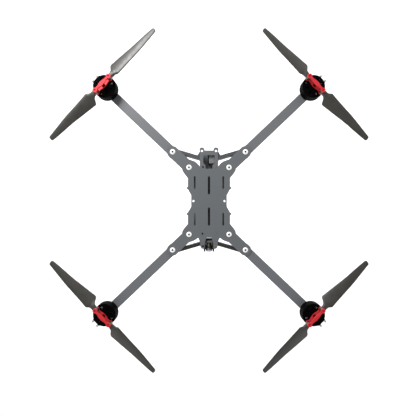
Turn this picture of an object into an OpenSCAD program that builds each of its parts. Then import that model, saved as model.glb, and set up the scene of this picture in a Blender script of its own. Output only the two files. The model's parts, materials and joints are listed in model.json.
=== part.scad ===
// Four-rotor camera drone with folding two-blade propellers, 800 mm across opposite motors.
// Frame: origin at the middle of the underside, +Z up, nose towards -Y.
// The pilot's left, looking forward from the tail, is +X.

/* [Airframe] */
// Distance of each motor axis from the long centreline
motor_x = 270; // [260:1:280]
// Distance of each motor axis ahead of or behind the middle
motor_y = 295; // [285:1:305]
// Distance from the middle at which an arm's centreline crosses the long centreline
arm_cross_y = 38.4; // [37:0.2:40]
// Outside width and height of a square arm tube
tube_w = 25; // [24:0.5:25]
// Wall of an arm tube
tube_wall = 1.5; // [1:0.25:2]
// Length of tube past the motor axis
tube_past_motor = 39; // [36:0.5:40]
// Thickness of the two body plates
plate_t = 3; // [2:0.5:4]
// Distance along an arm from the centreline crossing to its inner bolt
inner_bolt_s = 73.3; // [72:0.1:75]
// Spacing of the two bolts on an arm
bolt_pitch = 60; // [58:0.5:61]
// Width of a tie strut
strut_w = 9.4; // [8:0.2:11]

/* [Motor] */
// Outside diameter of the motor bell
bell_d = 59; // [57:0.5:60]
// Height of the bell's top above the arm
bell_top = 30; // [29:0.5:30.5]
// Diameter of the motor base
base_d = 38; // [34:1:40]
// Diameter of the stator
stator_d = 50.4; // [49:0.2:50.8]
// Diameter of the motor shaft
shaft_d = 5; // [4:0.5:5]
// Number of stator teeth
teeth = 12; // [12:3:18]
// Number of rotor magnets
magnets = 14; // [14:2:20]

/* [Propeller] */
// Distance of each blade pivot from the motor axis
pivot_r = 24.3; // [24:0.1:26]
// Length of a blade from its pivot to its tip
blade_len = 168; // [150:1:170]
// Height of the blade root between the clamp plates
root_h = 11.4; // [9:0.1:11.4]
// Thickness of each clamp plate
clamp_t = 3.5; // [3:0.1:4]
// Pitch angle of a blade at its shoulder
root_pitch = 17; // [12:1:18]
// Pitch angle of a blade at its tip
tip_pitch = 7.5; // [5:0.5:10]

/* [Camera] */
// Upward tilt at which the camera is set
camera_tilt = 30; // [20:1:35]
// Width of the camera housing
camera_w = 18.6; // [18:0.1:18.7]
// Outside diameter of the lens hood
lens_d = 17; // [14:0.5:17]
// Distance of the tilt pivot ahead of the middle
camera_y = 111; // [110:0.5:112]

/* [Electronics] */
// Hole spacing of the electronics stack
stack_pitch = 30.5; // [30.5]
// Side of the flight controller board
board_w = 36; // [34:1:37]
// Diameter of a phase wire
wire_d = 2.2; // [1.6:0.1:2.2]

/* [Hidden] */
$fn = 64;
gap = 0.05;          // running clearance of a pin and of a blade root
seat = 0.02;         // clearance of pieces that are screwed or glued together
deck_z = plate_t + tube_w;
top_z = deck_z + plate_t;
mid_z = plate_t + tube_w / 2;
arm_run = norm([motor_x, motor_y - arm_cross_y]);
arm_angle = atan2(motor_y - arm_cross_y, motor_x);
tube_start = 52;
tube_end = arm_run + tube_past_motor;
outer_bolt_s = inner_bolt_s + bolt_pitch;
bolt_stations = [inner_bolt_s, outer_bolt_s];

// Name, side (+1 is +X) and end (+1 is the tail) of each corner, and its blade line and blade hand
CORNERS = [
    ["front_left", 1, -1, 46.5, 1],
    ["front_right", -1, -1, 133.5, -1],
    ["rear_left", 1, 1, 133.5, -1],
    ["rear_right", -1, 1, 46.5, 1]
];

ROTOR_PIECES = ["motor_bell", "motor_magnets", "motor_shaft", "clamp_lower", "clamp_upper",
    "blade_pins", "blade_a", "blade_b"];

// Body plates
ear_x = 18.7;
ear_y = 135.5;
ear_r = 6.8;
ear_hole_y = 132.8;
ear_hole_r = 3.1;
tongue_end = 134;
waist_hole_x = 42;
waist_hole_r = 3.3;
window_corner_r = 3;
centre_slot = [5.7, 17.5, 65.5];     // width, start and end of the slot on the centreline
side_slot = [4.5, 32, 65.5];
side_slot_x = 37.9;
post_places = [[17.3, -87], [16, -120], [16, 90]];
post_r = 2.75;
strut_angle = 16.4;
tail_foot = [[20.4, 108.8], [25.8, 110.5], [31, 113], [31, 121], [25.2, 131], [20.4, 131]];
nose_foot = [[20.6, 109.2], [25.8, 110.5], [25.8, 120.1], [20.6, 118.8]];
bolt_hole_r = 3.1;
small_hole_r = 1.6;
nut_r = 4.5;

// Arm tubes, their bolts and end plugs, and small screws
tube_corner_r = 1.6;
flange_r = 7;
flange_t = 1.2;
head_r = 5.2;
head_h = 3.3;
head_round = 1.1;
bolt_r = 3;
hex_across = 5;
hex_depth = 2.6;
plug_flange = 4.5;
plug_depth = 14;
peg_offset = 8.4;
peg_r = 1.5;
peg_cap_r = 3.2;
peg_cap_start = 12;                  // from the tube's end to the underside of the cap
peg_cap_h = 3.5;
small_screw_r = 1.5;
small_head_r = 2.2;
small_head_h = 1.2;
head_sink = 1.5;                     // depth of the screw pockets in the underside

// Motor, as heights above the arm
base_t = 3;
boss_r = 7;
boss_top = 23;
bearing_r = 5.5;
bearing_w = 4;
stack_low = 8;
stack_high = 22;
magnet_r = bell_d / 2 - 1;
magnet_t = 2.1;
bell_low = 1.5;
bell_roof = 3;
bell_hub_r = 6.5;
mount_r = 11.5;                      // radius of the motor's screw circle
mount_screw_r = 1.5;
mount_head_r = 2.75;
access_r = 2.85;                     // driver holes in the arm's underside

// Propeller clamp, as heights above the arm
hub_r = 5;
hub_h = 2.5;
collar_r = 4.5;
clamp_low = bell_top + hub_h;
washer_h = 0.5;
root_low = clamp_low + clamp_t + washer_h + gap;
root_mid = root_low + root_h / 2;
clamp_high = root_low + root_h + gap;
shaft_low = 1;
eye_r = 6;
eye_neck = 5.8;
bulge_w = 10;
pin_r = 2.5;
pin_recess = 0.8;
pin_hex = 3;

// Blade stations: distance from pivot, leading edge, trailing edge, thickness, boxiness
blade_stations = [
    [3, -5.2, 5.2, root_h - 1, 0.45],
    [9, -6.2, 6.6, root_h - 1.4, 0.5],
    [14, -6.8, 8.6, 8.8, 0.7],
    [18, -9.2, 13.4, 7, 0.9],
    [21.5, -12.2, 18.8, 5.6, 1],
    [26, -12.6, 21.5, 4.8, 1],
    [36, -12.1, 20.5, 4.2, 1],
    [65, -11.3, 17, 3.2, 1],
    [100, -10.6, 12.6, 2.4, 1],
    [135, -8.2, 9.8, 1.8, 1],
    [blade_len - 2, -5.6, 6.6, 1.3, 1],
    [blade_len, -4.6, 5.6, 1, 1]
];
section_points = 16;
camber = 0.02;
root_bore_r = pin_r + gap;

// Camera, from its tilt pivot
housing_h = 19;
housing_back = 8;
housing_front = -6;
barrel_r = 6;
barrel_start = -3;
hood_start = -16;
hood_full = -21;
hood_end = -25;
hood_wall = 2.4;
glass_seat = 2.5;                    // depth of the glass's seat behind the hood's rim
glass_bulge = 1.5;
bracket_in = 9.5;
bracket_out = 12;
bracket_base = 118;                  // where the floor between the two cheeks starts
bracket_base_t = 2;
tilt_screw_r = 1;
tilt_head_r = 2;

// Electronics, as heights above the frame's underside
board_t = 1.6;
esc_size = [52, 64];
esc_z = 8;
board_z = 16;
esc_chip_h = 1.4;
vtx_size = [18, 22, 18];
vtx_x = 6.5;
receiver_size = [18, 14, 5];
wire_z = 10.75;
wire_offsets = [4.4, 6.9, 9.4];      // across the arm, from its axis
wire_turn = 21;                      // distance inside the motor axis at which the wires rise
wire_bend = 4;
wire_pad_x = [17, 13, 9];
wire_sides = 8;

carbon = [0.30, 0.31, 0.32];
black = [0.07, 0.07, 0.08];
steel = [0.75, 0.76, 0.78];
red = [0.85, 0.14, 0.18];
copper = [0.62, 0.32, 0.16];
board_blue = [0.05, 0.10, 0.16];

// Puts children at both sides of the long centreline
module both_sides() {
    children();
    mirror([1, 0, 0]) children();
}

// Puts children, drawn for +X and the tail, at one corner
module at_corner(c) {
    mirror([c[1] < 0 ? 1 : 0, 0, 0]) mirror([0, c[2] < 0 ? 1 : 0, 0]) children();
}

// Puts children at all four corners
module at_corners() {
    for (c = CORNERS) at_corner(c) children();
}

// Arm frame of the +X tail corner: X runs out along the arm, Y points to the tail's centreline
module along_arm() {
    translate([0, arm_cross_y, 0]) rotate(arm_angle) children();
}

// Rotor frame: Z on the motor axis from the arm's top, X along the blade line
module on_rotor(c) {
    translate([c[1] * motor_x, c[2] * motor_y, deck_z]) rotate(c[3]) children();
}

// Slot with round ends along Y
module slot_2d(x, slot) {
    r = slot[0] / 2;
    translate([x - r, slot[1] + r]) square([2 * r, slot[2] - slot[1] - 2 * r]);
    for (y = [slot[1] + r, slot[2] - r]) translate([x, y]) circle(r);
}

// A quarter of the body's outline with the lobes round one arm's bolts
module quarter_2d() {
    polygon([
        [-1, -1], [47.3, -1], [47.3, 15], [56.3, 31], [59.8, 33], [59.8, 36], [56.1, 38.5],
        [56.1, 61], [66.5, 73.5], [70.5, 80], [71, 84.5], [52.6, 89.5],
        [54, 110.6], [47.5, 108.4], [38.5, 105.2], [31.8, 100.6], [26, 94.2], [24.4, 91], [-1, 91]
    ]);
    along_arm() {
        translate([inner_bolt_s, 0]) circle(19);
        translate([outer_bolt_s, 0]) circle(15.5);
        translate([inner_bolt_s, -14.5]) square([bolt_pitch, 30]);
    }
}

// Half of the two prongs that flank the camera
module prong_2d() {
    polygon([
        [-1, -88], [40, -88], [40.3, -106.3], [32, -99.2], [28, -99], [23.4, -111],
        [23.4, -120], [20, -127], [13.2, -127.5], [11.5, -125], [11.5, -114],
        [7.35, -99], [6.2, -98], [-1, -98]
    ]);
}

module tongue_2d() {
    translate([-24.6, 85]) square([49.2, tongue_end - 85]);
}

// Runs an outline right through a plate that lies on z = 0
module through() {
    translate([0, 0, -1]) linear_extrude(plate_t + 2) children();
}

// Slab that each plate is cut from, with its tail tongue and the holes that both plates share
module plate_slab() {
    difference() {
        union() {
            linear_extrude(plate_t) tongue_2d();
            at_corners() linear_extrude(plate_t) quarter_2d();
            both_sides() linear_extrude(plate_t) prong_2d();
        }
        both_sides() through() translate([waist_hole_x, 0]) circle(waist_hole_r);
        post_positions() through() circle(small_hole_r);
    }
}

// Half of the tail window in the top plate
module window_2d() {
    polygon([
        [-1, 85.6], [8.9, 85.6], [9.2, 94.6], [14.9, 100],
        [14.9, 121.7 - window_corner_r], [14.9 - window_corner_r, 121.7], [-1, 121.7]
    ]);
    translate([14.9 - window_corner_r, 121.7 - window_corner_r]) circle(window_corner_r);
}

// Puts children at the four holes of the electronics stack
module stack_places() {
    for (x = [-1, 1], y = [-1, 1]) translate([x, y, 0] * stack_pitch / 2) children();
}

// Puts children at the posts between the plates
module post_positions() {
    both_sides() for (p = post_places) translate(p) children();
}

module bottom_plate() {
    color(carbon) difference() {
        plate_slab();
        at_corners() along_arm() for (s = bolt_stations) {
            translate([s, 0]) through() circle(nut_r + seat);
        }
        stack_places() through() circle(small_hole_r);
        post_positions() translate([0, 0, -1]) cylinder(h = head_sink + 1, r = small_head_r + 0.2);
        stack_places() translate([0, 0, -1]) cylinder(h = head_sink + 1, r = small_head_r + 0.2);
    }
}

module top_plate() {
    color(carbon) translate([0, 0, deck_z]) difference() {
        union() {
            plate_slab();
            both_sides() translate([ear_x, ear_y]) cylinder(h = plate_t, r = ear_r);
        }
        both_sides() translate([ear_x, ear_hole_y]) through() circle(ear_hole_r);
        at_corners() along_arm() for (s = bolt_stations) translate([s, 0]) through() circle(bolt_hole_r);
        both_sides() through() window_2d();
        for (end = [0, 1]) mirror([0, end]) {
            through() slot_2d(0, centre_slot);
            both_sides() through() slot_2d(side_slot_x, side_slot);
        }
    }
}

// Rectangle about the origin with round corners
module rounded_2d(w, h, r) {
    square([w - 2 * r, h], center = true);
    square([w, h - 2 * r], center = true);
    for (x = [-1, 1], y = [-1, 1]) translate([x * (w / 2 - r), y * (h / 2 - r)]) circle(r);
}

// Places of a motor's four mounting screws, in the arm frame
module mount_places() {
    for (a = [45 : 90 : 315]) {
        translate([arm_run + mount_r * cos(a), mount_r * sin(a), 0]) children();
    }
}

module arm(c) {
    hole_low = deck_z - tube_wall - 1;
    color(carbon) at_corner(c) along_arm() difference() {
        translate([tube_start, 0, mid_z]) rotate([90, 0, 90]) {
            linear_extrude(tube_end - tube_start) difference() {
                rounded_2d(tube_w, tube_w, tube_corner_r);
                square(tube_w - 2 * tube_wall, center = true);
            }
        }
        for (s = bolt_stations) translate([s, 0, 0]) cylinder(h = top_z, r = bolt_hole_r);
        translate([0, 0, hole_low]) mount_places() cylinder(h = 5, r = mount_screw_r + 0.1);
        mount_places() cylinder(h = plate_t + tube_wall + 1, r = access_r);
        translate([arm_run - wire_turn - 2, wire_offsets[0] - 1.4, hole_low]) cube([4, 7.9, 5]);
    }
}

// One strut of the +X tail corner, from the tongue's side to the tube's inner wall, with its foot
module strut_2d(foot) {
    difference() {
        union() {
            translate([24.5, 115]) rotate(strut_angle) translate([0, -strut_w / 2]) square([95, strut_w]);
            polygon(foot);
        }
        along_arm() translate([0, -tube_w]) square([tube_end, 1.5 * tube_w]);
    }
}

module tie_struts() {
    color(black) translate([0, 0, plate_t]) linear_extrude(tube_w) both_sides() {
        strut_2d(tail_foot);
        mirror([0, 1]) strut_2d(nose_foot);
    }
}

// Flanged button-head bolt standing on z = 0, with its shank below
module flanged_bolt(shank) {
    difference() {
        union() {
            cylinder(h = flange_t, r = flange_r);
            cylinder(h = head_h - head_round, r = head_r);
            translate([0, 0, head_h - head_round]) cylinder(h = head_round, r1 = head_r, r2 = head_r - 1.5);
            translate([0, 0, -shank]) cylinder(h = shank, r = bolt_r);
        }
        translate([0, 0, head_h - hex_depth]) cylinder(h = hex_depth + 1, d = hex_across / cos(30), $fn = 6);
    }
}

module arm_bolts() {
    color(steel) at_corners() along_arm() for (s = bolt_stations) {
        translate([s, 0, top_z]) flanged_bolt(top_z - 0.6);
    }
}

module arm_nuts() {
    color(steel) at_corners() along_arm() for (s = bolt_stations) {
        translate([s, 0, 0]) difference() {
            cylinder(h = plate_t, r = nut_r);
            translate([0, 0, -1]) cylinder(h = plate_t + 2, r = bolt_r + seat);
        }
    }
}

module arm_end_plugs() {
    color(black) at_corners() along_arm() translate([tube_end, 0, mid_z]) rotate([90, 0, 90]) {
        difference() {
            union() {
                linear_extrude(plug_flange) rounded_2d(tube_w, tube_w, tube_corner_r);
                translate([0, 0, -plug_depth]) linear_extrude(plug_depth + 1) {
                    square(tube_w - 2 * (tube_wall + seat), center = true);
                }
            }
            for (x = [-1, 1]) translate([x * peg_offset, 0, -plug_depth + 2]) {
                cylinder(h = plug_depth + plug_flange, r = peg_r + seat);
            }
        }
    }
}

module end_plug_screws() {
    cap_z = peg_cap_start + peg_cap_h;
    color(steel) at_corners() along_arm() translate([tube_end, 0, mid_z]) rotate([90, 0, 90]) {
        for (x = [-1, 1]) translate([x * peg_offset, 0, 0]) difference() {
            union() {
                translate([0, 0, -plug_depth + 4]) cylinder(h = plug_depth + peg_cap_start, r = peg_r);
                translate([0, 0, peg_cap_start]) cylinder(h = peg_cap_h, r = peg_cap_r);
            }
            translate([0, 0, cap_z - 2]) cylinder(h = 3, d = 2.5 / cos(30), $fn = 6);
        }
    }
}

module motor_bases() {
    color(black) for (c = CORNERS) on_rotor(c) difference() {
        rotate_extrude() polygon([
            [3.2, 0], [base_d / 2, 0], [base_d / 2, base_t - 0.6], [base_d / 2 - 0.6, base_t],
            [boss_r + 3, base_t], [boss_r, base_t + 2], [boss_r, boss_top],
            [bearing_r + seat, boss_top], [bearing_r + seat, 2], [3.2, 2]
        ]);
        rotate(screw_turn(c)) for (a = [45 : 90 : 315]) rotate(a) translate([mount_r, 0, -1]) {
            cylinder(h = base_t + 4, r = mount_screw_r + seat);
        }
    }
}

module motor_bearings() {
    color(steel) for (c = CORNERS) on_rotor(c) for (z = [2, boss_top - bearing_w]) {
        translate([0, 0, z]) difference() {
            cylinder(h = bearing_w, r = bearing_r);
            translate([0, 0, -1]) cylinder(h = bearing_w + 2, r = shaft_d / 2 + gap);
        }
    }
}

module motor_stators() {
    tooth_tip = stator_d / 2;
    color(copper) for (c = CORNERS) on_rotor(c) translate([0, 0, stack_low]) {
        difference() {
            cylinder(h = stack_high - stack_low, r = 11);
            translate([0, 0, -1]) cylinder(h = stack_high, r = boss_r + seat);
        }
        for (k = [0 : teeth - 1]) rotate(k * 360 / teeth) {
            translate([10, -2, 0]) cube([tooth_tip - 11.2, 4, stack_high - stack_low]);
            rotate(-100 / teeth) rotate_extrude(angle = 200 / teeth) {
                translate([tooth_tip - 1.8, 0]) square([1.8, stack_high - stack_low]);
            }
        }
    }
}

module motor_screws() {
    color(steel) at_corners() along_arm() translate([0, 0, deck_z - tube_wall]) mount_places() {
        translate([0, 0, -2.2]) difference() {
            cylinder(h = 2.2, r = mount_head_r);
            translate([0, 0, -1]) cylinder(h = 2.2, d = 2.5 / cos(30), $fn = 6);
        }
        cylinder(h = tube_wall + base_t - 0.2, r = mount_screw_r);
    }
}

// Unit vector along v
function unit(v) = v / norm(v);

// Point in the body frame from a distance along the arm, one across it and a height
function arm_point(s, t, z) = [
    s * cos(arm_angle) - t * sin(arm_angle),
    arm_cross_y + s * sin(arm_angle) + t * cos(arm_angle),
    z
];

// Route of one phase wire of the +X tail corner, from its solder pad to the stator
function wire_route(k) = let (t = wire_offsets[k], rise = arm_run - wire_turn, bend = wire_bend) [
    [wire_pad_x[k], esc_size[1] / 2 - 4, wire_z],
    [wire_pad_x[k], esc_size[1] / 2 + 2, wire_z],
    arm_point(tube_start + 4, t, wire_z),
    arm_point(tube_start + 9, t, wire_z),
    arm_point(rise - bend, t, wire_z),
    arm_point(rise - 0.3 * bend, t, wire_z + 0.3 * bend),
    arm_point(rise, t, wire_z + bend),
    arm_point(rise, t, deck_z + stack_low)
];

// Tangent of a route at point i
function tangent(route, i) = unit(
    (i > 0 ? unit(route[i] - route[i - 1]) : [0, 0, 0])
    + (i < len(route) - 1 ? unit(route[i + 1] - route[i]) : [0, 0, 0])
);

// Round tube along a route, whose tangents never run along the vector side
module tube_along(route, r, side) {
    n = wire_sides;
    last = len(route) - 1;
    points = [
        for (i = [0 : last])
            let (t = tangent(route, i), u = unit(cross(t, side)), v = cross(t, u))
            for (k = [0 : n - 1]) route[i] + r * (u * cos(k * 360 / n) + v * sin(k * 360 / n))
    ];
    sides = [
        for (i = [0 : last - 1], k = [0 : n - 1])
            let (a = i * n + k, b = i * n + (k + 1) % n)
            each [[a, a + n, b + n], [a, b + n, b]]
    ];
    caps = [[for (k = [0 : n - 1]) k], [for (k = [n - 1 : -1 : 0]) last * n + k]];
    polyhedron(points, concat(caps, sides));
}

module phase_wires() {
    color("dimgray") at_corners() for (k = [0 : 2]) {
        tube_along(wire_route(k), wire_d / 2, [-sin(arm_angle), cos(arm_angle), 0]);
    }
}

module speed_controller() {
    color(board_blue) {
        translate([0, 0, esc_z]) linear_extrude(board_t) difference() {
            square(esc_size, center = true);
            stack_places() circle(small_hole_r);
        }
        for (x = [-1, 1], y = [-1.5 : 1 : 1.5]) {
            translate([x * 21.8 - 3, y * 11 - 4, esc_z + board_t]) cube([6, 8, esc_chip_h]);
        }
        translate([-9, -11, esc_z + board_t]) cube([18, 22, 3]);
    }
}

module flight_controller() {
    color(board_blue) {
        translate([0, 0, board_z]) linear_extrude(board_t) difference() {
            square(board_w, center = true);
            stack_places() circle(small_hole_r);
        }
        translate([-4, -4, board_z + board_t]) cube([8, 8, 1.2]);
        translate([7, -3, board_z + board_t]) cube([5, 5, 1]);
        translate([-4.5, -board_w / 2, board_z + board_t]) cube([9, 6, 3.2]);
        for (x = [-11, 6]) translate([x, board_w / 2 - 5, board_z + board_t]) cube([6, 4, 4]);
    }
}

module stack_spacers() {
    color(black) stack_places() for (level = [
        [plate_t, esc_z], [esc_z + board_t, board_z], [board_z + board_t, board_z + board_t + 2.6]
    ]) translate([0, 0, level[0]]) difference() {
        cylinder(h = level[1] - level[0], r = 2.8);
        translate([0, 0, -1]) cylinder(h = level[1] - level[0] + 2, r = small_screw_r + seat);
    }
}

// Small button-head screw, its head on z = 0 and its shank below
module small_screw(shank) {
    difference() {
        cylinder(h = small_head_h, r = small_head_r);
        translate([0, 0, small_head_h - 0.8]) cylinder(h = 1, d = 1.5 / cos(30), $fn = 6);
    }
    translate([0, 0, -shank]) cylinder(h = shank, r = small_screw_r);
}

module frame_screws() {
    stack_top = board_z + board_t + 3.4;
    color(steel) {
        post_positions() translate([0, 0, top_z]) small_screw(plate_t + 7);
        post_positions() translate([0, 0, head_sink]) mirror([0, 0, 1]) small_screw(plate_t + 5);
        stack_places() translate([0, 0, head_sink]) mirror([0, 0, 1]) small_screw(stack_top - head_sink);
    }
}

module cage_posts() {
    color(steel) post_positions() translate([0, 0, plate_t]) difference() {
        cylinder(h = tube_w, r = post_r);
        for (z = [-1, tube_w - 9]) translate([0, 0, z]) cylinder(h = 10, r = small_screw_r + seat);
    }
}

module radio_receiver() {
    color(black) translate([0, -73, plate_t]) {
        linear_extrude(receiver_size[2]) rounded_2d(receiver_size[0], receiver_size[1], 1.5);
    }
}

module video_transmitter() {
    color("gray") translate([vtx_x, 112, plate_t]) {
        linear_extrude(vtx_size[2]) rounded_2d(vtx_size[0], vtx_size[1], 1);
        for (x = [-7.5 : 3 : 7.5]) translate([x - 0.6, -9.5, vtx_size[2] - 1]) cube([1.2, 19, 3.5]);
        translate([-3, vtx_size[1] / 2 - 1, 6]) rotate([-90, 0, 0]) cylinder(h = 9, r = 3.1);
    }
}

// Half of the side brackets seen from above
module bracket_2d() {
    polygon([
        [bracket_in, -105], [bracket_out, -105], [bracket_out, -116], [16, -116], [16, -124],
        [12.5, -124], [14.5, -128.5], [14.3, -133], [12.2, -136], [10.3, -135.5], [bracket_in, -132]
    ]);
    translate(post_places[1]) circle(4);
}

module camera_brackets() {
    color(black) difference() {
        union() {
            both_sides() translate([0, 0, plate_t]) linear_extrude(tube_w) bracket_2d();
            translate([-bracket_in - 1, -132, plate_t]) {
                cube([2 * (bracket_in + 1), 132 - bracket_base, bracket_base_t]);
            }
        }
        both_sides() {
            translate(post_places[1]) cylinder(h = top_z, r = post_r + seat);
            translate([0, -camera_y, mid_z]) rotate([0, 90, 0]) {
                cylinder(h = 20, r = tilt_screw_r + gap);
            }
        }
    }
}

// Camera frame: origin on the tilt axis, -Y along the line of sight
module on_camera() {
    translate([0, -camera_y, mid_z]) rotate([-camera_tilt, 0, 0]) children();
}

module camera_housing() {
    depth = housing_back - housing_front;
    color(black) on_camera() difference() {
        translate([-camera_w / 2, housing_front + depth / 2, 0]) rotate([90, 0, 90]) {
            linear_extrude(camera_w) rounded_2d(depth, housing_h, 1);
        }
        rotate([90, 0, 0]) translate([0, 0, -barrel_start]) cylinder(h = 10, r = barrel_r + seat);
        both_sides() rotate([0, 90, 0]) translate([0, 0, camera_w / 2 - 3]) {
            cylinder(h = 4, r = tilt_screw_r + seat);
        }
    }
}

module camera_lens() {
    color(black) on_camera() rotate([90, 0, 0]) rotate_extrude() polygon([
        [0, -barrel_start], [barrel_r, -barrel_start], [barrel_r, -hood_start],
        [lens_d / 2, -hood_full], [lens_d / 2, -hood_end], [lens_d / 2 - hood_wall, -hood_end],
        [lens_d / 2 - hood_wall, -hood_end - glass_seat], [0, -hood_end - glass_seat]
    ]);
}

module lens_glass() {
    r = lens_d / 2 - hood_wall - seat;
    seat_z = -hood_end - glass_seat + seat;
    color("lightsteelblue") on_camera() rotate([90, 0, 0]) rotate_extrude() polygon(concat(
        [[0, seat_z], [r, seat_z]],
        [for (a = [0 : 15 : 90]) [r * cos(a), -hood_end + glass_bulge * sin(a)]]
    ));
}

module tilt_screws() {
    color(steel) on_camera() both_sides() rotate([0, 90, 0]) {
        translate([0, 0, camera_w / 2 - 2.8]) cylinder(h = bracket_out - camera_w / 2 + 3, r = tilt_screw_r);
        translate([0, 0, bracket_out + 0.1]) cylinder(h = 1.1, r = tilt_head_r);
    }
}

// Turn that brings a motor's screw circle from the blade line to the arm
function screw_turn(c) = atan2(c[2] * sin(arm_angle), c[1] * cos(arm_angle)) - c[3];

module motor_bell(c) {
    r = bell_d / 2;
    roof = bell_top - bell_roof;
    color(black) on_rotor(c) difference() {
        rotate_extrude() polygon([
            [shaft_d / 2 + seat, boss_top + 0.5], [bell_hub_r, boss_top + 0.5], [bell_hub_r, roof],
            [magnet_r, roof], [magnet_r, bell_low], [r, bell_low], [r, bell_top - 2],
            [r - 0.6, bell_top - 0.6], [r - 2, bell_top], [hub_r, bell_top],
            [hub_r, clamp_low - seat], [shaft_d / 2 + seat, clamp_low - seat]
        ]);
        for (a = [0 : 45 : 315]) rotate(a + 10) translate([0, 0, roof - 1]) {
            rotate_extrude(angle = 18) translate([14, 0]) square([9, bell_roof + 2]);
        }
    }
}

module motor_magnets(c) {
    color("silver") on_rotor(c) translate([0, 0, stack_low - 1]) for (k = [0 : magnets - 1]) {
        rotate(k * 360 / magnets) rotate_extrude(angle = 320 / magnets) {
            translate([magnet_r - magnet_t, 0]) square([magnet_t - seat, stack_high - stack_low + 2]);
        }
    }
}

// Motor shaft with the collar that keeps the clamp plates apart
module motor_shaft(c) {
    collar_low = clamp_low + clamp_t + seat;
    color(black) on_rotor(c) {
        translate([0, 0, shaft_low]) cylinder(h = collar_low + 1 - shaft_low, r = shaft_d / 2);
        translate([0, 0, collar_low]) cylinder(h = clamp_high - seat - collar_low, r = collar_r);
    }
}

// Outline of a clamp plate: two eyes, a neck and a slender bulge between them
module clamp_2d() {
    half = pivot_r - 5;
    r = (half * half + bulge_w * bulge_w / 4) / bulge_w;
    for (x = [-1, 1]) translate([x * pivot_r, 0]) circle(eye_r);
    square([2 * pivot_r, eye_neck], center = true);
    intersection_for(y = [-1, 1]) translate([0, y * (r - bulge_w / 2)]) circle(r, $fn = 180);
}

// Puts children at both blade pivots
module pivots() {
    for (x = [-1, 1]) translate([x * pivot_r, 0, 0]) children();
}

module clamp_lower(c) {
    color(red) on_rotor(c) difference() {
        union() {
            translate([0, 0, clamp_low]) linear_extrude(clamp_t) clamp_2d();
            pivots() translate([0, 0, clamp_low]) cylinder(h = clamp_t + washer_h, r = eye_r - 1);
        }
        pivots() translate([0, 0, clamp_low - 1]) cylinder(h = clamp_t + 3, r = pin_r + seat);
        translate([0, 0, clamp_low - 1]) cylinder(h = clamp_t + 2, r = shaft_d / 2 + seat);
    }
}

module clamp_upper(c) {
    color(red) on_rotor(c) translate([0, 0, clamp_high]) linear_extrude(clamp_t) difference() {
        clamp_2d();
        pivots() circle(pin_r + seat);
    }
}

module blade_pins(c) {
    pin_top = clamp_high + clamp_t - pin_recess;
    color(red) on_rotor(c) pivots() difference() {
        translate([0, 0, clamp_low]) cylinder(h = pin_top - clamp_low, r = pin_r);
        translate([0, 0, pin_top - 2]) cylinder(h = 3, d = pin_hex / cos(30), $fn = 6);
    }
}

// Pitch of the blade at distance x from its pivot
function pitch(x) = let (full = 24, u = min(max((x - 8) / (full - 8), 0), 1))
    x < full ? root_pitch * u * u * (3 - 2 * u)
             : root_pitch + (tip_pitch - root_pitch) * (x - full) / (blade_len - full);

// Power that keeps the sign of its base
function signed_power(v, e) = sign(v) * pow(abs(v), e);

// Closed section of the blade at one station, from the leading edge over the top
function section(st) = let (mid = (st[1] + st[2]) / 2, half = (st[2] - st[1]) / 2, wing = st[4] < 1 ? 0 : 1) [
    for (k = [0 : section_points - 1])
        let (
            a = k * 360 / section_points,
            y = mid - half * signed_power(cos(a), st[4]),
            lens = signed_power(sin(a), st[4]) * (1 + 0.3 * wing * cos(a)),
            z = lens * st[3] / 2 + wing * camber * 2 * half * pow(sin(a), 2)
        )
        [st[0], y, z - y * tan(pitch(st[0]))]
];

// Blade about its pivot, pointing along +X with its leading edge at -Y
module blade_solid() {
    n = section_points;
    last = len(blade_stations) - 1;
    points = [for (st = blade_stations) each section(st)];
    skin = [
        for (i = [0 : last - 1], k = [0 : n - 1])
            let (a = i * n + k, b = i * n + (k + 1) % n)
            each [[a, b, b + n], [a, b + n, a + n]]
    ];
    ends = [[for (k = [n - 1 : -1 : 0]) k], [for (k = [0 : n - 1]) last * n + k]];
    difference() {
        union() {
            translate([0, 0, -root_h / 2]) cylinder(h = root_h, r = eye_r + 0.3);
            polyhedron(points, concat(skin, ends));
        }
        translate([0, 0, -root_h]) cylinder(h = 2 * root_h, r = root_bore_r);
    }
}

module blade(c, turn) {
    color([0.27, 0.26, 0.24]) on_rotor(c) rotate(turn) translate([pivot_r, 0, root_mid]) {
        mirror([0, c[4] < 0 ? 1 : 0, 0]) blade_solid();
    }
}

bottom_plate();
top_plate();
tie_struts();
arm_bolts();
arm_nuts();
arm_end_plugs();
end_plug_screws();
motor_bases();
motor_bearings();
motor_stators();
motor_screws();
phase_wires();
speed_controller();
flight_controller();
stack_spacers();
frame_screws();
cage_posts();
radio_receiver();
video_transmitter();
camera_brackets();
camera_housing();
camera_lens();
lens_glass();
tilt_screws();
for (c = CORNERS) {
    arm(c);
    motor_bell(c);
    motor_magnets(c);
    motor_shaft(c);
    clamp_lower(c);
    clamp_upper(c);
    blade_pins(c);
    blade(c, 0);
    blade(c, 180);
}
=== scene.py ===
"""Looks of a folding-propeller camera drone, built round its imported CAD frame.

Each sub-assembly is a class that holds its sizes, builds its pieces and dresses them in a finish.
All lengths are in metres unless a name ends in _mm.
"""

import json
import logging
import math
from dataclasses import dataclass
from enum import Enum
from functools import cache

import bmesh
import bpy
from mathutils import Matrix, Vector

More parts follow.
